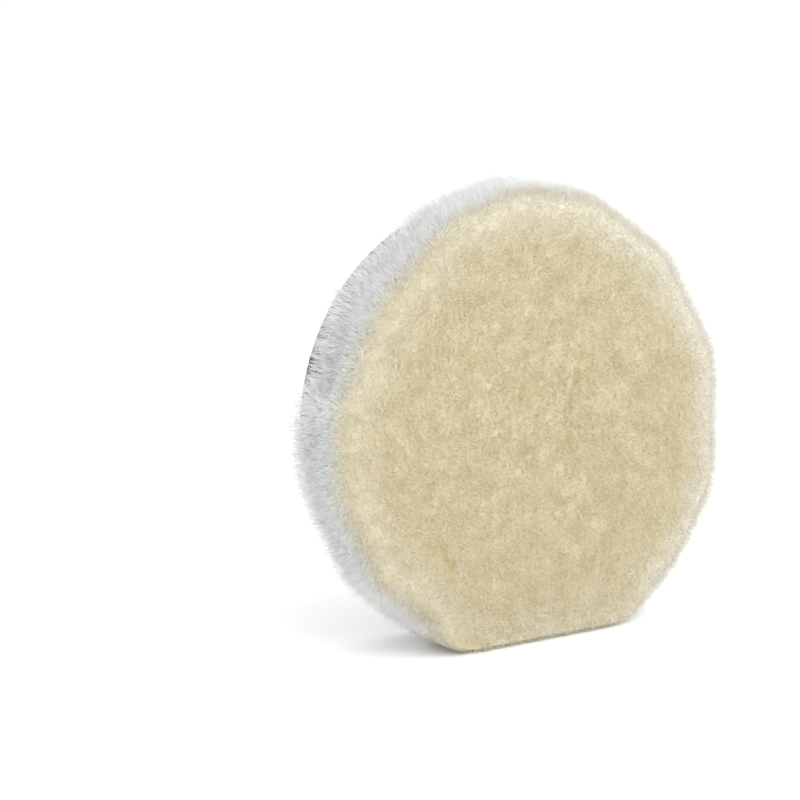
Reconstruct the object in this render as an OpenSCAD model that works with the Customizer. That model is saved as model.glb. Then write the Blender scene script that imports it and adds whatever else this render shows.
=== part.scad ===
// Sheepskin polishing pad: a wool face on a foam interface, with a loop-fabric back.
// It stands on its trimmed edge. +Z is up, the loop face looks along +Y and the wool face
// along -Y. The origin is the bottom centre of the whole pad's box.

/* [Core] */
// Diameter that the foam and the loop fabric are cut to together
core_d = 130; // [75:1:160]
// Thickness of the foam interface
foam_t = 14; // [8:0.5:25]
// Thickness of each adhesive film
bond_t = 0.3; // [0.1:0.1:0.8]

/* [Loop fabric] */
// Height of the loops above their ground
loop_pile_t = 1.2; // [0.6:0.1:2.4]
// Thickness of the knitted ground
loop_ground_t = 0.6; // [0.3:0.1:1.2]
// Radius with which the outermost loops fall away
loop_edge_r = 0.5; // [0.2:0.1:0.6]
// How far the film stays back from the cut edge
bond_inset = 0.3; // [0:0.1:1]

/* [Hide] */
// Thickness of the tanned skin
hide_t = 1.2; // [0.8:0.1:2]
// How far the hide reaches past the foam
hide_margin = 1; // [0.8:0.1:2]

/* [Wool] */
// Length of the sheared pile in front of the hide
pile_t = 18.4; // [12:0.1:25]
// How far the untrimmed wool reaches past the hide
wool_overhang = 13; // [12.5:0.5:20]
// How far the rim wool falls back past the foam's front
wool_skirt = 2.5; // [1:0.5:4]
// Depth of the scissor cuts that set the width, left and right
side_trim = 6; // [3:0.5:8]
// Depth of the scissor cut that the pad stands on
stand_trim = 9; // [3:0.5:10]
// Depth of the deep scissor cuts that round off the upper left and right
deep_trim = 9; // [3:0.5:10]
// Depth of the lighter scissor cuts at the top and the lower left
light_trim = 7; // [3:0.5:8]
// Depth of the last snips, which only tidy the lower right
snip_trim = 1; // [0.5:0.5:3]
// Bevel of the wool's working face at its rim
face_bevel = 5; // [2:0.5:7]
// Bevel of the wool behind its rim
back_bevel = 2; // [0.5:0.5:2]

/* [Hidden] */
$fn = 96;

// Scissor cuts round the wool: each one's direction in degrees from +X towards +Z, and its depth
scissor_cuts = [
    [0, side_trim], [30, deep_trim], [55, deep_trim], [80, light_trim], [105, light_trim],
    [130, deep_trim], [155, deep_trim], [180, side_trim], [205, light_trim], [230, light_trim],
    [270, stand_trim], [300, snip_trim], [330, snip_trim],
];
// Cuts pass the wool by this much, so that no skin is left
cut_over = 1;

hide_d = core_d + 2 * hide_margin;
wool_r = hide_d / 2 + wool_overhang;
axis_z = wool_r - stand_trim;

pad_t = loop_pile_t + loop_ground_t + 2 * bond_t + foam_t + hide_t + pile_t;
// Where each layer begins, counted from the loop face forwards
loop_y = pad_t / 2;
ground_y = loop_y - loop_pile_t;
rear_film_y = ground_y - loop_ground_t;
foam_y = rear_film_y - bond_t;
front_film_y = foam_y - foam_t;
hide_y = front_film_y - bond_t;
wool_y = hide_y - hide_t;
skirt_y = front_film_y + wool_skirt;
wool_depth = skirt_y - wool_y + pile_t;

// Places a shape drawn along +Z on the pad's axis, running forwards from back_y
module on_axis(back_y) {
    translate([0, back_y, axis_z]) rotate([90, 0, 0]) children();
}

module layer(back_y, d, t) {
    on_axis(back_y) cylinder(d = d, h = t);
}

// Everything past a plane that leans by tilt degrees, at distance x from the axis
module beyond(x, z, tilt) {
    translate([x, 0, z]) rotate([0, tilt, 0])
        translate([0, -2 * wool_r, -2 * wool_r]) cube(4 * wool_r);
}

module loop_pile() {
    edge_r = min(loop_edge_r, loop_pile_t);
    color("#17181a") on_axis(loop_y)
        rotate_extrude()
        union() {
            translate([0, edge_r]) square([core_d / 2, loop_pile_t - edge_r]);
            square([core_d / 2 - edge_r, loop_pile_t]);
            translate([core_d / 2 - edge_r, edge_r]) circle(edge_r);
        }
}

module loop_ground() {
    color("#26282b") layer(ground_y, core_d, loop_ground_t);
}

module rear_bond_film() {
    color("#8f9499") layer(rear_film_y, core_d - 2 * bond_inset, bond_t);
}

module foam_interface() {
    color("#0a4e96") layer(foam_y, core_d, foam_t);
}

module front_bond_film() {
    color("#cfc7ae") layer(front_film_y, core_d - 2 * bond_inset, bond_t);
}

module sheepskin_hide() {
    color("#d9cfb4") layer(hide_y, hide_d, hide_t);
}

module wool_pile() {
    color("#e9dfbf") on_axis(skirt_y)
        difference() {
            cylinder(r = wool_r, h = wool_depth);
            for (cut = scissor_cuts)
                rotate([0, 0, cut[0]]) {
                    edge = wool_r - cut[1];
                    beyond(edge, 0, 0);
                    beyond(edge - face_bevel, wool_depth, -45);
                    beyond(edge - back_bevel, 0, 45);
                }
            // The seat for the film and the hide, open towards the foam
            translate([0, 0, -cut_over]) cylinder(d = hide_d, h = skirt_y - wool_y + cut_over);
        }
}

loop_pile();
loop_ground();
rear_bond_film();
foam_interface();
front_bond_film();
sheepskin_hide();
wool_pile();
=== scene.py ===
import math

import bmesh
import bpy
from mathutils import Matrix, Vector, noise
from mathutils.bvhtree import BVHTree


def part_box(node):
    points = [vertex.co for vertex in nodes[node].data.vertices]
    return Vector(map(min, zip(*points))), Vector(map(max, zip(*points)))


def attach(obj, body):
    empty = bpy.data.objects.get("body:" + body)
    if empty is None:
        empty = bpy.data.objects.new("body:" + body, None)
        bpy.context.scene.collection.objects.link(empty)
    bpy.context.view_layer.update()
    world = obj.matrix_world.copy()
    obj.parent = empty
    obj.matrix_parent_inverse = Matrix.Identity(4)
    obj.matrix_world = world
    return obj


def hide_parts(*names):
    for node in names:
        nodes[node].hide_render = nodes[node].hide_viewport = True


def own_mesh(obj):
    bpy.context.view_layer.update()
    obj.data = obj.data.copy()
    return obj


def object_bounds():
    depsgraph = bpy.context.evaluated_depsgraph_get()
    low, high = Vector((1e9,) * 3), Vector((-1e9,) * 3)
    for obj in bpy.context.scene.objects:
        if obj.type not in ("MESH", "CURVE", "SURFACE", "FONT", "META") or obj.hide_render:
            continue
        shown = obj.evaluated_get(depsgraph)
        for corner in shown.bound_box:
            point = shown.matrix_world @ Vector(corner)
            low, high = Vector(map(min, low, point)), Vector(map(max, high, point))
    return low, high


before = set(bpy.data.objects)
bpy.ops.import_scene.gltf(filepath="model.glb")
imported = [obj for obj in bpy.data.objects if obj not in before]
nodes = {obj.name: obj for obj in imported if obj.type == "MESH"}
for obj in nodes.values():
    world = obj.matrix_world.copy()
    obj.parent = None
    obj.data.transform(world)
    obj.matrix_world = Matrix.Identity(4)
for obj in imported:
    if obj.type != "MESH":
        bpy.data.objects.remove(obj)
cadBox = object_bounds()
scene = bpy.context.scene
mm = 0.001

# The layers lie across Y round one level axis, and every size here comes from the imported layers
loopLow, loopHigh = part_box("loop_pile")
groundLow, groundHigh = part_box("loop_ground")
foamLow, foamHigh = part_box("foam_interface")
hideLow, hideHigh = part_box("sheepskin_hide")
woolLow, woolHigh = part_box("wool_pile")
axisZ = (hideLow.z + hideHigh.z) / 2
coreRadius = (loopHigh.x - loopLow.x) / 2
hideRadius = (hideHigh.x - hideLow.x) / 2


# Helpers that every piece uses

def smooth(low, high, value):
    t = min(1, max(0, (value - low) / (high - low)))
    return t * t * (3 - 2 * t)


def linear(hexColour):
    parts = [int(hexColour[i:i + 2], 16) / 255 for i in (1, 3, 5)]
    return [c / 12.92 if c <= 0.04045 else ((c + 0.055) / 1.055) ** 2.4 for c in parts] + [1]


def addNode(tree, kind, props=None, inputs=None):
    node = tree.nodes.new(kind)
    for name, value in (props or {}).items():
        setattr(node, name, value)
    for name, value in (inputs or {}).items():
        if isinstance(value, bpy.types.NodeSocket):
            tree.links.new(value, node.inputs[name])
        else:
            node.inputs[name].default_value = value
    return node


def newMaterial(name, settings):
    material = bpy.data.materials.new(name)
    material.use_nodes = True
    shader = material.node_tree.nodes["Principled BSDF"]
    for socket, value in settings.items():
        shader.inputs[socket].default_value = value
    return material, material.node_tree, shader


def newPiece(name, bm, material=None):
    mesh = bpy.data.meshes.new(name)
    for face in bm.faces:
        face.smooth = True
    bm.to_mesh(mesh)
    bm.free()
    piece = bpy.data.objects.new(name, mesh)
    scene.collection.objects.link(piece)
    if material:
        mesh.materials.append(material)
    return piece


def applyModifiers(piece, material=None):
    # The live modifiers become the piece's own mesh
    bpy.context.view_layer.update()
    evaluated = piece.evaluated_get(bpy.context.evaluated_depsgraph_get())
    mesh = bpy.data.meshes.new_from_object(evaluated)
    piece.modifiers.clear()
    piece.data = mesh
    if material:
        mesh.materials.clear()
        mesh.materials.append(material)
    return piece


def between(start, end, count):
    # count points from start towards end, without end
    return [tuple(a + (b - a) * i / count for a, b in zip(start, end)) for i in range(count)]


def inFixedOrder(bm):
    # a spin leaves its faces in another order each run, and fibres are scattered by that order
    bm.verts.index_update()
    rings = []
    for face in bm.faces:
        ring = [vert.index for vert in face.verts]
        start = ring.index(min(ring))
        rings.append(ring[start:] + ring[:start])
    ordered = bmesh.new()
    verts = [ordered.verts.new(vert.co) for vert in bm.verts]
    for ring in sorted(rings):
        ordered.faces.new([verts[i] for i in ring])
    bm.free()
    ordered.normal_update()
    return ordered


def spinProfile(points, steps):
    # points are (radius, y); the full turn is about the pad's axis
    bm = bmesh.new()
    verts = [bm.verts.new((radius, y, axisZ)) for radius, y in points]
    edges = [bm.edges.new(pair) for pair in zip(verts, verts[1:])]
    about = {"cent": (0, 0, axisZ), "axis": (0, 1, 0), "dvec": (0, 0, 0)}
    # one wedge of the turn is spun, then copied round, which is much quicker than one long spin
    wedges = 10
    bmesh.ops.spin(bm, geom=verts + edges, angle=math.tau / wedges, steps=steps // wedges,
                   use_duplicate=False, **about)
    wedge = bm.verts[:] + bm.edges[:] + bm.faces[:]
    bmesh.ops.spin(bm, geom=wedge, angle=math.tau * (wedges - 1) / wedges, steps=wedges - 1,
                   use_duplicate=True, **about)
    bmesh.ops.remove_doubles(bm, verts=bm.verts, dist=2e-6)     # metres, far less than any edge here
    bmesh.ops.recalc_face_normals(bm, faces=bm.faces)
    return inFixedOrder(bm)


# A disc's faces have a finer band along their edge, and part of it takes the edge's roughness
discSetup = {"band": 3 * mm, "bandSteps": 4, "innerSteps": 8, "roughBand": 2 * mm}


def discProfile(radius, front, back, edgeSteps):
    # a closed disc from its front centre, round the cut edge, to its back centre
    inner = radius - discSetup["band"]
    profile = between((0, front), (inner, front), discSetup["innerSteps"])
    profile += between((inner, front), (radius, front), discSetup["bandSteps"])
    profile += between((radius, front), (radius, back), edgeSteps)
    profile += between((radius, back), (inner, back), discSetup["bandSteps"])
    profile += between((inner, back), (0, back), discSetup["innerSteps"])
    return profile + [(0, back)]


def roughenEdge(bm, radius, wander, size, seed):
    # a hand-cut edge wanders a little from the round
    start = radius - discSetup["roughBand"]
    for vert in bm.verts:
        out = Vector((vert.co.x, 0, vert.co.z - axisZ))
        if out.length > start:
            shift = noise.noise(vert.co / size + Vector((seed, 0, 0)))
            vert.co += out.normalized() * shift * wander * smooth(start, radius, out.length)


def finishPiece(piece, body, node):
    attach(piece, body)
    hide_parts(node)


# Camera, floor and light

# degrees, a lens in mm, and metres
cameraSetup = {"azimuth": -35, "elevation": 12, "lens": 150, "distance": 1.035, "shift": (-0.1345, 0.0085),
               "clip": (0.05, 20)}


def addCamera():
    data = bpy.data.cameras.new("camera")
    data.lens = cameraSetup["lens"]
    data.shift_x, data.shift_y = cameraSetup["shift"]
    data.clip_start, data.clip_end = cameraSetup["clip"]
    camera = bpy.data.objects.new("camera", data)
    scene.collection.objects.link(camera)
    azimuth = math.radians(cameraSetup["azimuth"])
    elevation = math.radians(cameraSetup["elevation"])
    back = Vector((math.sin(azimuth) * math.cos(elevation),
                   -math.cos(azimuth) * math.cos(elevation), math.sin(elevation)))
    middle = (cadBox[0] + cadBox[1]) / 2
    camera.location = middle + back * cameraSetup["distance"]
    camera.rotation_euler = (-back).to_track_quat("-Z", "Y").to_euler()
    scene.camera = camera


def addArea(name, size, watts, place, target):
    light = bpy.data.lights.new(name, "AREA")
    light.shape, light.size, light.energy = "SQUARE", size, watts
    lamp = bpy.data.objects.new(name, light)
    lamp.location = place
    lamp.rotation_euler = (Vector(target) - Vector(place)).to_track_quat("-Z", "Y").to_euler()
    scene.collection.objects.link(lamp)


stageSetup = {"worldStrength": 1.0, "white": "#ffffff", "floorReach": 6}
# each lamp's size and place in metres, its watts, and the height on the pad's axis that it aims at
lampSetup = {
    "overhead": (0.7, (0.05, -0.5, 0.6), 2.9, 0.08),
    "front": (0.8, (0.1, -1.0, 0.5), 0.7, 0.07),
    "left": (0.6, (-0.85, 0.2, 0.35), 0.75, 0.07),
    "right": (0.6, (0.85, 0.3, 0.35), 2.6, 0.07),
    "back": (0.8, (0.1, 1.0, 0.6), 1.6, 0.07),
}


def addStage():
    world = bpy.data.worlds.new("studio")
    world.use_nodes = True
    background = world.node_tree.nodes["Background"]
    background.inputs["Color"].default_value = linear(stageSetup["white"])
    background.inputs["Strength"].default_value = stageSetup["worldStrength"]
    scene.world = world
    for name, (size, place, watts, aim) in lampSetup.items():
        addArea(name, size, watts, place, (0, 0, aim))
    scene.view_settings.view_transform = "Standard"

    # White paper sweep: uncoated and matt, so that the pad leaves only a soft shadow on it
    paper = newMaterial("whitePaperSweep", {"Base Color": linear(stageSetup["white"]), "Roughness": 0.9})[0]
    bm = bmesh.new()
    bmesh.ops.create_grid(bm, x_segments=1, y_segments=1, size=stageSetup["floorReach"])
    newPiece("floor", bm, paper)


addCamera()
addStage()
print("stage: camera, floor and lights made")


# Wool: a dense core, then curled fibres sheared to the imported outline

fleece = {
    "faceInset": 1.7 * mm,      # how far the core stays under the sheared face
    "rimInset": 2.6 * mm,       # and inside the rim, where the fibres are looser
    "rimReach": 1.6,            # how many times that depth the rim's fibres run, so their tips stand proud
    "standInset": 1.0 * mm,     # and above the cut that the pad stands on
    "skirtSpill": 2 * mm,       # how much longer the fibres are that spill back past the foam's front
    "spillAngle": 158, "spillHalf": 62, "spillExtra": 3.4 * mm,     # and longer still on the uncombed side
    "sweepOut": 0.5, "sweepBack": 1.4,      # how strongly those at the back are swept outwards and back
    "rimShare": 0.6,            # where the rim's outline is read, as a share of the depth behind the face
    "shoulder": 6 * mm,         # radius that the core turns from face to rim with
    "standCorner": 0.25,        # share of that radius left where the cut to stand on crosses it
    "standFade": (1 * mm, 9 * mm),      # heights of the outline between which that cut's effect fades
    "cornerSoftening": 4,       # degrees each way that fibres blur the scissor cuts' corners by
    # one snip left a step in the rim: degrees for where it begins, how far it runs and how soft its start is
    "snipAngle": 169, "snipRun": 22, "snipBlur": 1.5, "snipDepth": 3.6 * mm,
    "snipSpares": 4 * mm,       # and how deep behind the face it begins
    "whitening": 21 * mm,       # how far in from the rim the painted rim light reaches
    "paintedRimLight": 0.48,          # how pale the painted rim light makes it there
    "rimLightOnRight": 0.5,         # how much stronger the painted rim light is on +X, the side lit from the right and behind, than on -X
    "rimFade": 1.3, "backPale": 0.6, "standShade": 0.65,    # painted light: paleness painted on the rim's sides and on the back, and how much less of it the lower cut gets
    # partings in the face, each from (x, z) to (x, z) in mm about the axis, with its half width in mm
    "partings": [
        ((15, 14), (11, 0), 1.5), ((11, 0), (13, -14), 2.0),
        ((-4, 22), (-7, 8), 1.2), ((-35, -34), (-32, -44), 1.4),
    ],
    "partingEdge": 1.4,         # how many half widths a parting fades over
    "partingWander": 2.4 * mm, "partingWave": 4 * mm,       # how far it strays, and over what length
    "partingStrength": 0.6, "partingVaries": 0.4, "partingPatch": 3 * mm,
}
# What the core tells the fibres: whether they grow, how long, how pale, and where they part
fibreGuides = ("cover", "gap", "rimness", "parting")
woolTree = BVHTree.FromObject(nodes["wool_pile"], bpy.context.evaluated_depsgraph_get())
rimY = woolLow.y + fleece["rimShare"] * (woolHigh.y - woolLow.y)


def cutRadius(degrees):
    angle = math.radians(degrees)
    # the ray's fourth result is how far it ran
    return woolTree.ray_cast(Vector((0, rimY, axisZ)), Vector((math.cos(angle), 0, math.sin(angle))))[3]


softRadius = []
for degree in range(360):
    reach = fleece["cornerSoftening"]
    softRadius.append(sum(cutRadius(degree + d) for d in range(-reach, reach + 1)) / (2 * reach + 1))


def rimRadius(x, z):
    degree = math.degrees(math.atan2(z - axisZ, x)) % 360
    low = int(degree) % 360
    return softRadius[low] + (softRadius[(low + 1) % 360] - softRadius[low]) * (degree % 1)


def snipAt(x, y, z):
    # the snip's depth: it begins at one angle, runs out over some degrees, and spares the face
    past = fleece["snipAngle"] - math.degrees(math.atan2(z - axisZ, x)) % 360
    blur = fleece["snipBlur"]
    if not -blur < past < fleece["snipRun"]:
        return 0
    ramp = smooth(-blur, blur, past) * (1 - max(0, past) / fleece["snipRun"])
    return fleece["snipDepth"] * ramp * smooth(woolLow.y + fleece["snipSpares"], rimY, y)


def standingShare(x, z):
    # 1 along the straight cut that the pad stands on, 0 elsewhere
    radius = math.hypot(x, z - axisZ)
    outlineZ = axisZ + (z - axisZ) * rimRadius(x, z) / max(radius, 1e-6)
    return 1 - smooth(*fleece["standFade"], outlineZ)


def spillAt(x, z):
    # how much longer the fibres are at the back of the rim
    degree = math.degrees(math.atan2(z - axisZ, x)) % 360
    uncombed = 1 - smooth(0, fleece["spillHalf"], abs(degree - fleece["spillAngle"]))
    return fleece["skirtSpill"] + fleece["spillExtra"] * uncombed


def partingAt(x, z):
    # 1 along a parting, 0 past its width
    strongest = 0
    for start, end, width in fleece["partings"]:
        a, b = Vector(start) * mm, Vector(end) * mm
        p = Vector((x, z - axisZ))
        t = min(1, max(0, (p - a).dot(b - a) / (b - a).length_squared))
        stray = fleece["partingWander"] * noise.noise(Vector((x, z, 0)) / fleece["partingWave"])
        apart = (p - a - (b - a) * t).length + stray
        strongest = max(strongest, 1 - smooth(0, fleece["partingEdge"] * width * mm, apart))
    patch = noise.noise(Vector((x, z, 5)) / fleece["partingPatch"])
    return strongest * (fleece["partingStrength"] + fleece["partingVaries"] * patch)


coreSetup = {
    "backInset": 0.6 * mm, "backCorner": 0.8 * mm,      # inside the wool's back, and the bevel there
    "seatGap": 0.1 * mm,                    # room round the hide, which the fibres keep too
    "seatSlack": (0.2 * mm, 0.05 * mm),     # what still belongs to the seat, along Y and outwards
    "rimStart": 4 * mm,         # past the hide: the rim is drawn round there, then moved to the cuts
    "turnSteps": 300, "shoulderStep": 9,    # of the full turn, and degrees between shoulder points
    "facesBack": 0.3, "facesFront": -0.6, "facesOut": 0.8,      # how a normal's Y tells the sides apart
    "lumpSizes": (7 * mm, 2.6 * mm), "smallLumps": 0.5, "lumpHeight": 0.2 * mm,
    "partingDepth": 0.3 * mm, "floorGap": 0.5 * mm,
}


def makeWoolCore(material):
    faceY = woolLow.y + fleece["faceInset"]
    backY = woolHigh.y - coreSetup["backInset"]
    seatY = hideLow.y
    seatRadius = hideRadius + coreSetup["seatGap"]
    turn = fleece["shoulder"]
    rim = hideRadius + coreSetup["rimStart"]
    corner = coreSetup["backCorner"]
    shoulder = [(rim - turn * (1 - math.cos(a)), faceY + turn * (1 - math.sin(a)))
                for a in (math.radians(degrees) for degrees in range(0, 91, coreSetup["shoulderStep"]))]
    profile = between((0, seatY), (seatRadius, seatY), 12)
    profile += between((seatRadius, seatY), (seatRadius, backY), 3)
    profile += between((seatRadius, backY), (rim - corner, backY), 3)
    profile += between((rim - corner, backY), (rim, backY - corner), 2)
    profile += between((rim, backY - corner), shoulder[0], 12)
    profile += shoulder[:-1] + between(shoulder[-1], (0, faceY), 42) + [(0, faceY)]
    bm = spinProfile(profile, coreSetup["turnSteps"])

    cover, gap, rimness, parting = [bm.verts.layers.float.new(name) for name in fibreGuides]
    sweep = bm.verts.layers.float_vector.new("sweep")
    bm.normal_update()
    slackBack, slackOut = coreSetup["seatSlack"]
    for vert in bm.verts:
        x, y, z = vert.co
        radius = math.hypot(x, z - axisZ)
        outline = rimRadius(x, z)
        standing = standingShare(x, z)
        sideways = 1 - abs(vert.normal.y)
        if radius > rim - turn and y < faceY + turn:
            sharpen = (1 - fleece["standCorner"]) * standing
            y += (faceY - y) * sharpen
            squared = 1 + (rim / radius - 1) * sharpen
            x, z = x * squared, axisZ + (z - axisZ) * squared
            radius *= squared
        inSeat = y > seatY - slackBack and radius < seatRadius + slackOut
        inset = fleece["rimInset"] + (fleece["standInset"] - fleece["rimInset"]) * standing
        atBack = vert.normal.y > coreSetup["facesBack"]
        weight = 0 if inSeat else (smooth(seatRadius, rim, radius) if atBack else 1)
        outline -= snipAt(x, y, z)
        scale = 1 + ((outline - inset) / rim - 1) * weight
        vert.co = x * scale, y, axisZ + (z - axisZ) * scale
        backShare = smooth(rimY, woolHigh.y, y)
        vert[cover] = 0 if inSeat else 1
        reach = inset * (1 + (fleece["rimReach"] - 1) * (1 - standing))
        outShare = smooth(0, coreSetup["facesOut"], sideways)
        vert[gap] = fleece["faceInset"] + (reach - fleece["faceInset"]) * outShare
        vert[gap] += spillAt(x, z) * backShare * (1 - standing)
        # Painted rim light: the rim's sideways faces, a band of the face along the rim (strongest on +X) and
        # the back are painted paler, and the cut that the pad stands on gets much less of it
        # the least radius only keeps the axis itself from dividing by nothing
        paintedRimLight = fleece["paintedRimLight"] * (1 + fleece["rimLightOnRight"] * x / max(radius, 1 * mm))
        faceEdge = paintedRimLight * (1 - smooth(0, fleece["whitening"], outline - radius * scale))
        palest = max(sideways ** fleece["rimFade"], faceEdge, fleece["backPale"] * backShare)
        vert[rimness] = palest * (1 - fleece["standShade"] * standing)
        inFace = vert.normal.y < coreSetup["facesFront"]
        vert[parting] = partingAt(vert.co.x, vert.co.z) if inFace else 0
        if not inSeat:
            outward = Vector((x, 0, z - axisZ)).normalized()
            swept = fleece["sweepOut"] * outward + Vector((0, fleece["sweepBack"], 0))
            vert[sweep] = swept * backShare * (1 - standing)
    bm.normal_update()
    large, small = coreSetup["lumpSizes"]
    for vert in bm.verts:
        lump = noise.noise(vert.co / large) + coreSetup["smallLumps"] * noise.noise(vert.co / small)
        raised = coreSetup["lumpHeight"] * lump - coreSetup["partingDepth"] * vert[parting]
        vert.co += vert.normal * vert[cover] * raised
        vert.co.z = max(vert.co.z, coreSetup["floorGap"])
    return newPiece("woolCore", bm, material)


fibreLength = 3 * mm        # of every template; each fibre is scaled from it
fibreSag = 0.08             # how much shorter a fibre stands than it is long, as it bends over
# each way that a fibre curls: swing and hook at the tip in mm, waves, and phase in radians
shearedFibre = {
    "width": 0.17 * mm, "segments": 4, "tipShare": 0.45, "twist": 1.6,
    "curls": [(0.20, 0.45, 1.3, 0.0), (0.28, 0.30, 1.7, 1.1), (0.15, 0.60, 0.9, 2.3),
              (0.24, 0.50, 1.5, 3.4), (0.32, 0.38, 1.1, 4.4), (0.18, 0.25, 2.0, 5.3)],
}
looseFibre = {
    "width": 0.12 * mm, "segments": 7, "tipShare": 0.4, "twist": 2.2,
    "curls": [(0.55, 1.6, 1.2, 0.4), (0.75, 1.0, 1.6, 1.5), (0.45, 2.1, 1.0, 2.6),
              (0.60, 1.8, 1.4, 3.7), (0.85, 1.3, 1.1, 4.6), (0.50, 0.9, 1.9, 5.6)],
}


def makeFibreTemplates(name, kind):
    collection = bpy.data.collections.new(name)
    length, segments = fibreLength, kind["segments"]
    for number, (swing, hook, waves, phase) in enumerate(kind["curls"]):
        shares = [i / segments for i in range(segments + 1)]
        path = [Vector((mm * (swing * math.cos(math.tau * waves * s + phase) * s + hook * s ** 3),
                        mm * swing * math.sin(math.tau * waves * s + phase) * s,
                        length * (s - fibreSag * s ** 3))) for s in shares]
        bm = bmesh.new()
        along = bm.verts.layers.float.new("along")
        ends = [bm.verts.new((side * kind["width"] / 2, 0, 0)) for side in (-1, 1)]
        edge = bm.edges.new(ends)
        for here, there, share in zip(path, path[1:], shares[1:]):
            made = bmesh.ops.extrude_edge_only(bm, edges=[edge])["geom"]
            ends = [g for g in made if isinstance(g, bmesh.types.BMVert)]
            edge = next(g for g in made if isinstance(g, bmesh.types.BMEdge))
            bmesh.ops.translate(bm, verts=ends, vec=there - here)
            taper = kind["tipShare"] ** (1 / segments)
            turn = Matrix.Rotation(kind["twist"] / segments, 4, "Z") @ Matrix.Scale(taper, 4)
            bmesh.ops.transform(bm, verts=ends, matrix=turn, space=Matrix.Translation(-there))
            for vert in ends:
                vert[along] = share
        template = newPiece(f"{name}{number}", bm)
        scene.collection.objects.unlink(template)
        collection.objects.link(template)
    return collection


shearSetup = {
    "swellSize": 8 * mm, "swell": (0.9, 1.08),      # wide soft swells in the sheared length
    "partingCut": -0.35,        # how much of its length a fibre loses in a parting
    "rimPower": 2.0,            # how firmly the loose fibres keep to the rim
    "floorGap": 0.05 * mm,
}


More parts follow.
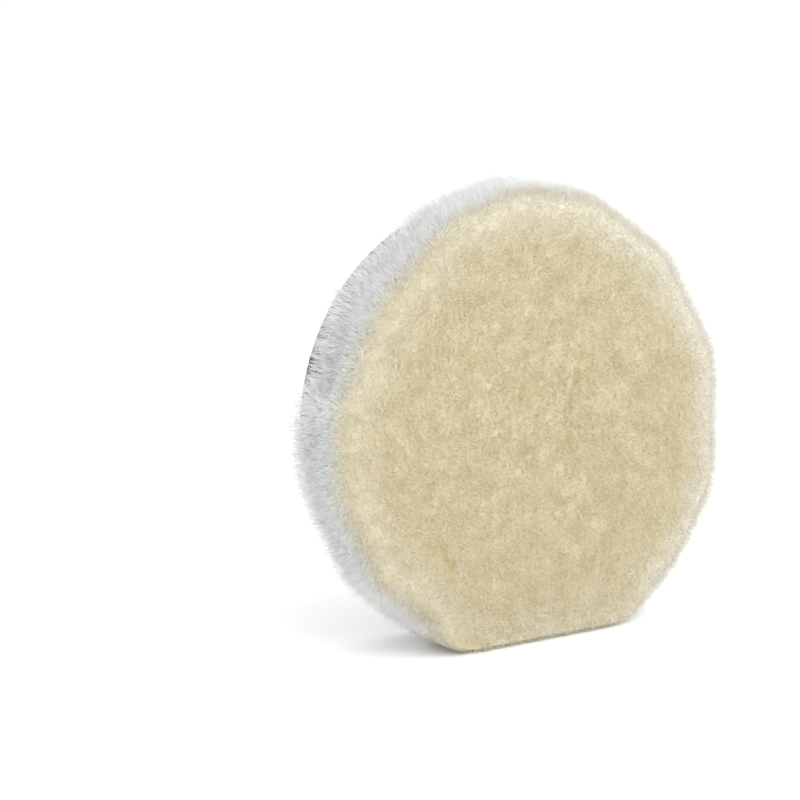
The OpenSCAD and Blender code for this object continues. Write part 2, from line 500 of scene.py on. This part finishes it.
def growFibres(name, ground, templates, material, grow):
    piece = bpy.data.objects.new(name, ground.data.copy())
    scene.collection.objects.link(piece)
    tree = bpy.data.node_groups.new(name, "GeometryNodeTree")
    tree.interface.new_socket("Geometry", in_out="INPUT", socket_type="NodeSocketGeometry")
    tree.interface.new_socket("Geometry", in_out="OUTPUT", socket_type="NodeSocketGeometry")
    source = addNode(tree, "NodeGroupInput")
    result = addNode(tree, "NodeGroupOutput")
    seed = grow["seed"]

    where = addNode(tree, "GeometryNodeInputPosition").outputs[0]
    cover, gap, rimness, parting = [
        addNode(tree, "GeometryNodeInputNamedAttribute", {"data_type": "FLOAT"}, {"Name": guide}).outputs[0]
        for guide in fibreGuides]
    density = addNode(tree, "ShaderNodeMath", {"operation": "MULTIPLY"},
                      {0: cover, 1: grow["perSquareMm"] / mm ** 2})
    if grow["onlyRim"]:
        rimShare = addNode(tree, "ShaderNodeMath", {"operation": "POWER"},
                           {0: rimness, 1: shearSetup["rimPower"]})
        density = addNode(tree, "ShaderNodeMath", {"operation": "MULTIPLY"},
                          {0: density.outputs[0], 1: rimShare.outputs[0]})
    scatter = addNode(tree, "GeometryNodeDistributePointsOnFaces", {"distribute_method": "RANDOM"},
                      {"Mesh": source.outputs[0], "Density": density.outputs[0], "Seed": seed})

    # Neighbours lean together, as locks of wool do, and each fibre strays a little from its lock
    locks = addNode(tree, "ShaderNodeTexNoise", None,
                    {"Vector": where, "Scale": 1 / grow["lockSize"], "Detail": 2.0}).outputs["Color"]
    centred = addNode(tree, "ShaderNodeVectorMath", {"operation": "SUBTRACT"},
                      {0: locks, 1: (0.5, 0.5, 0.5)})
    lockLean = addNode(tree, "ShaderNodeVectorMath", {"operation": "SCALE"},
                       {0: centred.outputs[0], "Scale": grow["lean"]})
    stray = addNode(tree, "FunctionNodeRandomValue", {"data_type": "FLOAT_VECTOR"},
                    {0: (-grow["stray"],) * 3, 1: (grow["stray"],) * 3, "Seed": seed + 1})
    swept = addNode(tree, "GeometryNodeInputNamedAttribute", {"data_type": "FLOAT_VECTOR"},
                    {"Name": "sweep"})
    direction = scatter.outputs["Normal"]
    for push in (lockLean, stray, swept):
        pushed = addNode(tree, "ShaderNodeVectorMath", {"operation": "ADD"},
                         {0: direction, 1: push.outputs[0]})
        direction = pushed.outputs[0]
    aligned = addNode(tree, "FunctionNodeAlignRotationToVector", {"axis": "Z"}, {"Vector": direction})

    # Sheared to the outline: the gap to it sets the length, less in a parting
    clouds = addNode(tree, "ShaderNodeTexNoise", None,
                     {"Vector": where, "Scale": 1 / shearSetup["swellSize"], "Detail": 3.0})
    swell = addNode(tree, "ShaderNodeMapRange", None,
                    {"Value": clouds.outputs[0], "From Min": 0.3, "From Max": 0.7,
                     "To Min": shearSetup["swell"][0], "To Max": shearSetup["swell"][1]})
    spread = addNode(tree, "FunctionNodeRandomValue", {"data_type": "FLOAT"},
                     {2: grow["length"][0], 3: grow["length"][1], "Seed": seed + 2})
    shorn = addNode(tree, "ShaderNodeMath", {"operation": "MULTIPLY_ADD"},
                    {0: parting, 1: shearSetup["partingCut"], 2: 1.0})
    tall = gap
    for factor in (spread.outputs[1], swell.outputs[0], shorn.outputs[0], 1 / fibreLength):
        scaled = addNode(tree, "ShaderNodeMath", {"operation": "MULTIPLY"}, {0: tall, 1: factor})
        tall = scaled.outputs[0]
    size = addNode(tree, "ShaderNodeCombineXYZ", None, {0: grow["thick"], 1: grow["thick"], 2: tall})

    kinds = addNode(tree, "GeometryNodeCollectionInfo", {"transform_space": "RELATIVE"},
                    {"Collection": templates, "Separate Children": True, "Reset Children": True})
    placed = addNode(tree, "GeometryNodeInstanceOnPoints", None,
                     {"Points": scatter.outputs["Points"], "Instance": kinds.outputs[0],
                      "Pick Instance": True, "Rotation": aligned.outputs[0], "Scale": size.outputs[0]})
    spin = addNode(tree, "FunctionNodeRandomValue", {"data_type": "FLOAT_VECTOR"},
                   {0: (0, 0, 0), 1: (0, 0, math.tau), "Seed": seed + 3})
    spun = addNode(tree, "GeometryNodeRotateInstances", None,
                   {"Instances": placed.outputs[0], "Rotation": spin.outputs[0]})
    tone = addNode(tree, "FunctionNodeRandomValue", {"data_type": "FLOAT"},
                   {2: 0.0, 3: 1.0, "Seed": seed + 4})
    toned = addNode(tree, "GeometryNodeStoreNamedAttribute", {"data_type": "FLOAT", "domain": "INSTANCE"},
                    {"Geometry": spun.outputs[0], "Name": "tone", "Value": tone.outputs[1]})
    real = addNode(tree, "GeometryNodeRealizeInstances", None, {"Geometry": toned.outputs[0]})

    # Behind the hide, fibres lie over the foam's edge and never pass into it
    spoke = addNode(tree, "ShaderNodeVectorMath", {"operation": "MULTIPLY_ADD"},
                    {0: where, 1: (1, 0, 1), 2: (0, 0, -axisZ)})
    away = addNode(tree, "ShaderNodeVectorMath", {"operation": "LENGTH"}, {0: spoke.outputs[0]})
    nearness = addNode(tree, "ShaderNodeMath", {"operation": "DIVIDE"},
                       {0: grow["clear"], 1: away.outputs["Value"]})
    overlap = addNode(tree, "ShaderNodeMath", {"operation": "SUBTRACT", "use_clamp": True},
                      {0: nearness.outputs[0], 1: 1.0})
    depth = addNode(tree, "ShaderNodeSeparateXYZ", None, {0: where})
    behind = addNode(tree, "ShaderNodeMath", {"operation": "GREATER_THAN"},
                     {0: depth.outputs[1], 1: hideHigh.y})
    push = addNode(tree, "ShaderNodeMath", {"operation": "MULTIPLY"},
                   {0: overlap.outputs[0], 1: behind.outputs[0]})
    outwards = addNode(tree, "ShaderNodeVectorMath", {"operation": "SCALE"},
                       {0: spoke.outputs[0], "Scale": push.outputs[0]})
    cleared = addNode(tree, "GeometryNodeSetPosition", None,
                      {"Geometry": real.outputs[0], "Offset": outwards.outputs[0]})

    # What would pass through the floor is pressed flat on it
    apart = addNode(tree, "ShaderNodeSeparateXYZ", None, {0: where})
    onFloor = addNode(tree, "ShaderNodeMath", {"operation": "MAXIMUM"},
                      {0: apart.outputs[2], 1: shearSetup["floorGap"]})
    pressed = addNode(tree, "ShaderNodeCombineXYZ", None,
                      {0: apart.outputs[0], 1: apart.outputs[1], 2: onFloor.outputs[0]})
    settled = addNode(tree, "GeometryNodeSetPosition", None,
                      {"Geometry": cleared.outputs[0], "Position": pressed.outputs[0]})
    tree.links.new(settled.outputs[0], result.inputs[0])

    piece.modifiers.new("grow", "NODES").node_group = tree
    applyModifiers(piece, material)
    print(f"{name}: {sum(len(p.vertices) - 2 for p in piece.data.polygons)} triangles")
    return piece


fleeceFinish = {"Roughness": 0.85, "IOR": 1.55, "Specular IOR Level": 0.2, "Diffuse Roughness": 1.0,
                "Sheen Weight": 0.15, "Sheen Roughness": 0.5}
# deep and pale are the wool's own mottle; rim is painted rim light, and parting is painted shade in the
# partings
fleeceColours = {"deep": "#ddd3b2", "pale": "#e5ddc4", "rim": "#f4f5f5", "parting": "#d0bf8e"}


def woolMaterial(name, fibres):
    # Sheared lambswool: creamy and matt, with painted rim light that turns it whiter towards the rim, and
    # painted shade that darkens the partings
    material, tree, shader = newMaterial(name, fleeceFinish)
    place = addNode(tree, "ShaderNodeTexCoord").outputs["Object"]
    rim = addNode(tree, "ShaderNodeAttribute", {"attribute_name": "rimness"}).outputs["Fac"]
    parting = addNode(tree, "ShaderNodeAttribute", {"attribute_name": "parting"}).outputs["Fac"]
    patches = addNode(tree, "ShaderNodeTexNoise", None,
                      {"Vector": place, "Scale": 1 / (6 * mm), "Detail": 5.0})
    mottle = addNode(tree, "ShaderNodeMapRange", None,
                     {"Value": patches.outputs[0], "From Min": 0.35, "From Max": 0.65})
    cream = addNode(tree, "ShaderNodeMix", {"data_type": "RGBA"},
                    {0: mottle.outputs[0], 6: linear(fleeceColours["deep"]),
                     7: linear(fleeceColours["pale"])})
    # Painted shade: the partings are painted a darker cream, as shade in their creases
    partingShaded = addNode(tree, "ShaderNodeMix", {"data_type": "RGBA"},
                     {0: parting, 6: cream.outputs[2], 7: linear(fleeceColours["parting"])})
    # Painted rim light: where rimness is high the colour turns whiter
    white = addNode(tree, "ShaderNodeMix", {"data_type": "RGBA"},
                    {0: rim, 6: partingShaded.outputs[2], 7: linear(fleeceColours["rim"])})
    colour = white.outputs[2]
    if fibres:
        along = addNode(tree, "ShaderNodeAttribute", {"attribute_name": "along"}).outputs["Fac"]
        tone = addNode(tree, "ShaderNodeAttribute", {"attribute_name": "tone"}).outputs["Fac"]
        lit = addNode(tree, "ShaderNodeMapRange", None, {"Value": along, "To Min": 0.96, "To Max": 1.0})
        vary = addNode(tree, "ShaderNodeMapRange", None, {"Value": tone, "To Min": 0.95, "To Max": 1.02})
        shade = addNode(tree, "ShaderNodeMath", {"operation": "MULTIPLY"},
                        {0: lit.outputs[0], 1: vary.outputs[0]})
        shaded = addNode(tree, "ShaderNodeMix", {"data_type": "RGBA", "blend_type": "MULTIPLY"},
                         {0: 1.0, 6: colour, 7: shade.outputs[0]})
        colour = shaded.outputs[2]
    else:
        fine = addNode(tree, "ShaderNodeTexNoise", None,
                       {"Vector": place, "Scale": 1 / (0.8 * mm), "Detail": 3.0})
        bump = addNode(tree, "ShaderNodeBump", None,
                       {"Height": fine.outputs[0], "Strength": 0.6, "Distance": 0.3 * mm})
        tree.links.new(bump.outputs[0], shader.inputs["Normal"])
    tree.links.new(colour, shader.inputs["Base Color"])
    return material


napSetup = {"layers": 6, "perSquareMm": 0.93, "lean": 1.0, "stray": 0.5, "lockSize": 2.6 * mm,
            "length": (0.8, 1.15), "thick": 1.0, "onlyRim": False,
            "clear": hideRadius + coreSetup["seatGap"]}
fuzzSetup = {"perSquareMm": 2.1, "seed": 97, "lean": 1.4, "stray": 0.9, "lockSize": 3 * mm,
             "length": (0.8, 1.35), "thick": 1.0, "onlyRim": True,
             "clear": hideRadius + coreSetup["seatGap"]}


def makeWool():
    undercoat = woolMaterial("fleeceUndercoat", False)
    fibre = woolMaterial("shearedFleeceFibre", True)
    core = makeWoolCore(undercoat)
    sheared = makeFibreTemplates("shearedFibre", shearedFibre)
    loose = makeFibreTemplates("looseFibre", looseFibre)
    grown = [growFibres(f"woolNap{n + 1}", core, sheared, fibre, {**napSetup, "seed": 11 + 10 * n})
             for n in range(napSetup["layers"])]
    grown.append(growFibres("woolRimFuzz", core, loose, fibre, fuzzSetup))
    for piece in [core] + grown:
        finishPiece(piece, "face", "wool_pile")
    return loose


looseTemplates = makeWool()
print("wool: core and fibres grown")


# Hide: the tanned skin that the wool grows from

hideSetup = {"gap": 0.02 * mm, "wander": 0.12 * mm, "waveSize": 9 * mm, "seed": 3,
             "edgeSteps": 4, "turnSteps": 360}


def makeHide():
    # Tanned sheepskin, flesh side: pale suede, napped and dry, with soft cloudy tone
    suede, tree, shader = newMaterial("tannedSheepskinSuede", {
        "Roughness": 0.9, "IOR": 1.5, "Sheen Weight": 0.3, "Specular IOR Level": 0.2})
    place = addNode(tree, "ShaderNodeTexCoord").outputs["Object"]
    cloud = addNode(tree, "ShaderNodeTexNoise", None,
                    {"Vector": place, "Scale": 1 / (6 * mm), "Detail": 6.0})
    tone = addNode(tree, "ShaderNodeMix", {"data_type": "RGBA"},
                   {0: cloud.outputs[0], 6: linear("#cbb98e"), 7: linear("#e6dab8")})
    nap = addNode(tree, "ShaderNodeTexNoise", None,
                  {"Vector": place, "Scale": 1 / (0.25 * mm), "Detail": 2.0})
    bump = addNode(tree, "ShaderNodeBump", None,
                   {"Height": nap.outputs[0], "Strength": 0.5, "Distance": 0.1 * mm})
    tree.links.new(tone.outputs[2], shader.inputs["Base Color"])
    tree.links.new(bump.outputs[0], shader.inputs["Normal"])

    gap = hideSetup["gap"]
    radius = hideRadius - hideSetup["wander"]
    profile = discProfile(radius, hideLow.y + gap, hideHigh.y - gap, hideSetup["edgeSteps"])
    bm = spinProfile(profile, hideSetup["turnSteps"])
    roughenEdge(bm, radius, hideSetup["wander"], hideSetup["waveSize"], hideSetup["seed"])
    hide = newPiece("tannedHide", bm, suede)
    finishPiece(hide, "face", "sheepskin_hide")


makeHide()
print("hide: cut and laid on its film")


# Foam: open-cell polyurethane, cut with the loop fabric on it

foamSetup = {
    "cell": 0.42 * mm, "depth": 0.16 * mm,      # the pits along the cut side
    "lump": 0.12 * mm, "lumpSize": 5 * mm,      # the cut's own slow waves
    "trim": 0.1 * mm, "sideBand": 0.2 * mm,     # room round the foam, and what counts as its side
    "corner": 0.5 * mm,                         # the pits fade out this near to the corners
    "sideSteps": 36, "turnSteps": 1100,
}


def makeFoam():
    # Open-cell polyurethane foam: dyed blue and matt, with painted shade in each cell's pit and painted
    # highlights on flecks of torn cell wall that catch the light
    foam, tree, shader = newMaterial("openCellPolyurethaneFoam", {
        "Roughness": 0.85, "IOR": 1.5, "Specular IOR Level": 0.12})
    place = addNode(tree, "ShaderNodeTexCoord").outputs["Object"]
    cells = addNode(tree, "ShaderNodeTexVoronoi", {"feature": "F1"},
                    {"Vector": place, "Scale": 1 / foamSetup["cell"]})
    # Painted shade: each cell is darker towards its middle, its pit
    cellPitShade = addNode(tree, "ShaderNodeMapRange", None,
                    {"Value": cells.outputs["Distance"], "From Min": 0.15, "From Max": 0.75})
    blues = addNode(tree, "ShaderNodeMix", {"data_type": "RGBA"},
                    {0: cellPitShade.outputs[0], 6: linear("#001d4f"), 7: linear("#03458a")})
    clouds = addNode(tree, "ShaderNodeTexNoise", None,
                     {"Vector": place, "Scale": 1 / (1.1 * mm), "Detail": 3.0})
    # Painted highlight: lighter flecks where cell walls catch the light
    paintedHighlightFlecks = addNode(tree, "ShaderNodeMapRange", None,
                     {"Value": clouds.outputs[0], "From Min": 0.52, "From Max": 0.75, "To Max": 0.55})
    foamPitsAndHighlights = addNode(tree, "ShaderNodeMix", {"data_type": "RGBA"},
                   {0: paintedHighlightFlecks.outputs[0], 6: blues.outputs[2], 7: linear("#1c67a6")})
    tree.links.new(foamPitsAndHighlights.outputs[2], shader.inputs["Base Color"])

    radius = coreRadius - foamSetup["trim"]
    bm = spinProfile(discProfile(radius, foamLow.y, foamHigh.y, foamSetup["sideSteps"]),
                     foamSetup["turnSteps"])
    for vert in bm.verts:
        out = Vector((vert.co.x, 0, vert.co.z - axisZ))
        if out.length > coreRadius - foamSetup["sideBand"]:
            nearest = noise.voronoi(vert.co / foamSetup["cell"])[0]
            pit = (nearest[1] - nearest[0]) * foamSetup["depth"]
            lump = foamSetup["lump"] * noise.noise(vert.co / foamSetup["lumpSize"])
            edge = smooth(foamHigh.y, foamHigh.y - foamSetup["corner"], vert.co.y)
            edge *= smooth(foamLow.y, foamLow.y + foamSetup["corner"], vert.co.y)
            vert.co += out.normalized() * (lump - pit * edge)
    bmesh.ops.recalc_face_normals(bm, faces=bm.faces)
    piece = newPiece("foamInterface", bm, foam)
    print(f"foamInterface: {2 * len(piece.data.polygons)} triangles")
    finishPiece(piece, "backing", "foam_interface")
    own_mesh(piece)


makeFoam()
print("foam: cut and pitted")


# Adhesive films: CAD discs with their own finish

def finishFilm(node, edge, body):
    # Heat-bonded adhesive web: a thin, milky, half-gloss layer, clouded where it soaked in
    film, tree, shader = newMaterial("bondedAdhesiveWeb" + node.title().replace("_", ""),
                                     {"Roughness": 0.4, "IOR": 1.48})
    place = addNode(tree, "ShaderNodeTexCoord").outputs["Object"]
    cloud = addNode(tree, "ShaderNodeTexNoise", None,
                    {"Vector": place, "Scale": 1 / (2.5 * mm), "Detail": 4.0})
    milk = addNode(tree, "ShaderNodeMix", {"data_type": "RGBA"},
                   {0: cloud.outputs[0], 6: linear(edge), 7: linear(body)})
    tree.links.new(milk.outputs[2], shader.inputs["Base Color"])
    mesh = nodes[node].data
    for index in range(len(mesh.materials)):
        mesh.materials[index] = film


finishFilm("rear_bond_film", "#8d9094", "#b4b7ba")
finishFilm("front_bond_film", "#bdb491", "#d9d0b0")
print("films: finished")


# Loop fabric: a knitted ground with the nylon loops standing on it

groundSetup = {"gap": 0.01 * mm, "trim": 0.1 * mm, "edgeSteps": 3, "turnSteps": 720}
# the cut edge that the ground and the loops' bed share
cutEdge = {"wander": 0.14 * mm, "size": 1.6 * mm, "seed": 8}
loopSetup = {
    "pitch": 1.0 * mm, "height": 1.15 * mm, "span": 0.8 * mm, "width": 0.22 * mm,
    "grain": 32, "segments": 7, "arch": 0.7,    # the rows' lie in degrees, and how full each loop's arch is
    "stray": 0.28, "strayWave": 0.7 * mm,       # share of the pitch that a loop strays, and its wave
    "margin": 0.45 * mm,                        # no loop stands nearer to the cut edge
    "lean": 0.42, "turn": 0.9,                  # radians that a loop leans and turns by, either way
    "smallest": (0.75, 0.72, 0.9), "largest": (1.15, 1.0, 1.2),
    "bedTrim": 0.15 * mm, "bedHeight": 0.35 * mm, "bedSteps": 2, "turnSteps": 480,
}


def makeGround():
    # Warp-knitted nylon ground: dull charcoal ribs, lighter grey where the same wave raises the bump and
    # darker in its dips
    knit, tree, shader = newMaterial("warpKnittedNylonGround", {
        "Roughness": 0.85, "IOR": 1.53, "Sheen Weight": 0.2})
    place = addNode(tree, "ShaderNodeTexCoord").outputs["Object"]
    ribs = addNode(tree, "ShaderNodeTexWave", {"bands_direction": "DIAGONAL"},
                   {"Vector": place, "Scale": 0.31 / (0.9 * mm), "Distortion": 1.5, "Detail": 2.0})
    tone = addNode(tree, "ShaderNodeMix", {"data_type": "RGBA"},
                   {0: ribs.outputs[0], 6: linear("#1b1c1f"), 7: linear("#3a3c40")})
    bump = addNode(tree, "ShaderNodeBump", None,
                   {"Height": ribs.outputs[0], "Strength": 0.6, "Distance": 0.2 * mm})
    tree.links.new(tone.outputs[2], shader.inputs["Base Color"])
    tree.links.new(bump.outputs[0], shader.inputs["Normal"])

    gap = groundSetup["gap"]
    radius = coreRadius - groundSetup["trim"]
    profile = discProfile(radius, groundLow.y + gap, groundHigh.y - gap, groundSetup["edgeSteps"])
    bm = spinProfile(profile, groundSetup["turnSteps"])
    roughenEdge(bm, radius, **cutEdge)
    ground = newPiece("loopGround", bm, knit)
    finishPiece(ground, "backing", "loop_ground")


def loopMaterial():
    # Brushed nylon loop: near-black filament yarn with a faint grey bloom along its curves
    nylon, tree, shader = newMaterial("brushedNylonLoop", {
        "Roughness": 0.5, "IOR": 1.53, "Specular IOR Level": 0.03})
    place = addNode(tree, "ShaderNodeTexCoord").outputs["Object"]
    lots = addNode(tree, "ShaderNodeTexNoise", None,
                   {"Vector": place, "Scale": 1 / (1.2 * mm), "Detail": 3.0})
    tone = addNode(tree, "ShaderNodeMix", {"data_type": "RGBA"},
                   {0: lots.outputs[0], 6: linear("#030304"), 7: linear("#0c0d0e")})
    tree.links.new(tone.outputs[2], shader.inputs["Base Color"])
    return nylon


def makeLoop():
    # one loop: a flat yarn arched over its pitch, standing along +Y
    bm = bmesh.new()
    half = loopSetup["width"] / 2
    ends = [bm.verts.new((-loopSetup["span"] / 2, 0, side * half)) for side in (-1, 1)]
    edge = bm.edges.new(ends)
    segments = loopSetup["segments"]
    place = Vector((-loopSetup["span"] / 2, 0, 0))
    for i in range(1, segments + 1):
        turn = math.pi * (1 - i / segments)
        rise = loopSetup["height"] * max(0, math.sin(turn)) ** loopSetup["arch"]
        there = Vector((loopSetup["span"] / 2 * math.cos(turn), rise, 0))
        made = bmesh.ops.extrude_edge_only(bm, edges=[edge])["geom"]
        ends = [g for g in made if isinstance(g, bmesh.types.BMVert)]
        edge = next(g for g in made if isinstance(g, bmesh.types.BMEdge))
        bmesh.ops.translate(bm, verts=ends, vec=there - place)
        place = there
    loop = newPiece("loopTemplate", bm)
    scene.collection.objects.unlink(loop)
    return loop


standUp = Matrix.Rotation(math.radians(-90), 4, "X")      # turns what lies flat to look along +Y


def plantLoops(loop, material):
    pitch = loopSetup["pitch"]
    reach = math.ceil(coreRadius / pitch)
    bm = bmesh.new()
    bmesh.ops.create_grid(bm, x_segments=2 * reach, y_segments=2 * reach, size=reach * pitch)
    lie = Matrix.Rotation(math.radians(loopSetup["grain"]), 4, "Y") @ standUp
    bmesh.ops.transform(bm, verts=bm.verts, matrix=Matrix.Translation((0, loopLow.y, axisZ)) @ lie)
    for vert in bm.verts:
        stray, wave = loopSetup["stray"] * pitch, loopSetup["strayWave"]
        vert.co.x += stray * noise.noise(vert.co / wave)
        vert.co.z += stray * noise.noise(vert.co / wave + Vector((9, 0, 0)))
    limit = coreRadius - loopSetup["margin"]
    outside = [v for v in bm.verts if math.hypot(v.co.x, v.co.z - axisZ) > limit]
    bmesh.ops.delete(bm, geom=outside, context="VERTS")
    piece = newPiece("loopPile", bm)

    tree = bpy.data.node_groups.new("plantLoops", "GeometryNodeTree")
    tree.interface.new_socket("Geometry", in_out="INPUT", socket_type="NodeSocketGeometry")
    tree.interface.new_socket("Geometry", in_out="OUTPUT", socket_type="NodeSocketGeometry")
    source = addNode(tree, "NodeGroupInput")
    result = addNode(tree, "NodeGroupOutput")
    stalks = addNode(tree, "GeometryNodeMeshToPoints", None, {"Mesh": source.outputs[0]})
    lean, turn = loopSetup["lean"], loopSetup["turn"]
    grain = math.radians(-loopSetup["grain"])
    turned = addNode(tree, "FunctionNodeRandomValue", {"data_type": "FLOAT_VECTOR"},
                     {0: (-lean, grain - turn, -lean), 1: (lean, grain + turn, lean), "Seed": 5})
    sized = addNode(tree, "FunctionNodeRandomValue", {"data_type": "FLOAT_VECTOR"},
                    {0: loopSetup["smallest"], 1: loopSetup["largest"], "Seed": 6})
    template = addNode(tree, "GeometryNodeObjectInfo", None, {"Object": loop, "As Instance": True})
    placed = addNode(tree, "GeometryNodeInstanceOnPoints", None,
                     {"Points": stalks.outputs[0], "Instance": template.outputs["Geometry"],
                      "Rotation": turned.outputs[0], "Scale": sized.outputs[0]})
    real = addNode(tree, "GeometryNodeRealizeInstances", None, {"Geometry": placed.outputs[0]})
    tree.links.new(real.outputs[0], result.inputs[0])
    piece.modifiers.new("plant", "NODES").node_group = tree
    applyModifiers(piece, material)
    print(f"{piece.name}: {2 * len(piece.data.polygons)} triangles")
    return piece


def makeLoopPile():
    nylon = loopMaterial()
    radius = coreRadius - loopSetup["bedTrim"]
    profile = discProfile(radius, loopLow.y + groundSetup["gap"], loopLow.y + loopSetup["bedHeight"],
                          loopSetup["bedSteps"])
    bed = spinProfile(profile, loopSetup["turnSteps"])
    roughenEdge(bed, radius, **cutEdge)
    for piece in (newPiece("loopBed", bed, nylon), plantLoops(makeLoop(), nylon)):
        finishPiece(piece, "backing", "loop_pile")


lintSetup = {
    "depth": 0.5 * mm, "margin": 4 * mm,        # under the loops' tips, and in from the edge
    "gap": 2.4 * mm,                            # the hairs' length before it varies
    "perSquareMm": 0.0016, "seed": 41, "lean": 5.0, "stray": 4.0, "lockSize": 3 * mm,
    "length": (0.5, 1.6), "thick": 0.9, "onlyRim": False, "clear": 0,
}


def makeLint(templates):
    # Loose lambswool caught in the loops: a few pale curled hairs
    hair = newMaterial("looseLambswoolHair", {
        "Roughness": 0.7, "IOR": 1.55, "Base Color": linear("#9a9b98")})[0]
    bm = bmesh.new()
    lie = Matrix.Translation((0, loopHigh.y - lintSetup["depth"], axisZ)) @ standUp
    bmesh.ops.create_circle(bm, cap_ends=True, segments=48, radius=coreRadius - lintSetup["margin"],
                            matrix=lie)
    # every guide has to be there, though lint only sets the first two
    cover, gap = [bm.verts.layers.float.new(name) for name in fibreGuides][:2]
    for vert in bm.verts:
        vert[cover], vert[gap] = 1, lintSetup["gap"]
    ground = newPiece("lintGround", bm)
    piece = growFibres("lintHairs", ground, templates, hair, lintSetup)
    bpy.data.objects.remove(ground)
    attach(piece, "backing")


makeGround()
makeLoopPile()
makeLint(looseTemplates)
print("loop fabric: ground, loops and lint made")
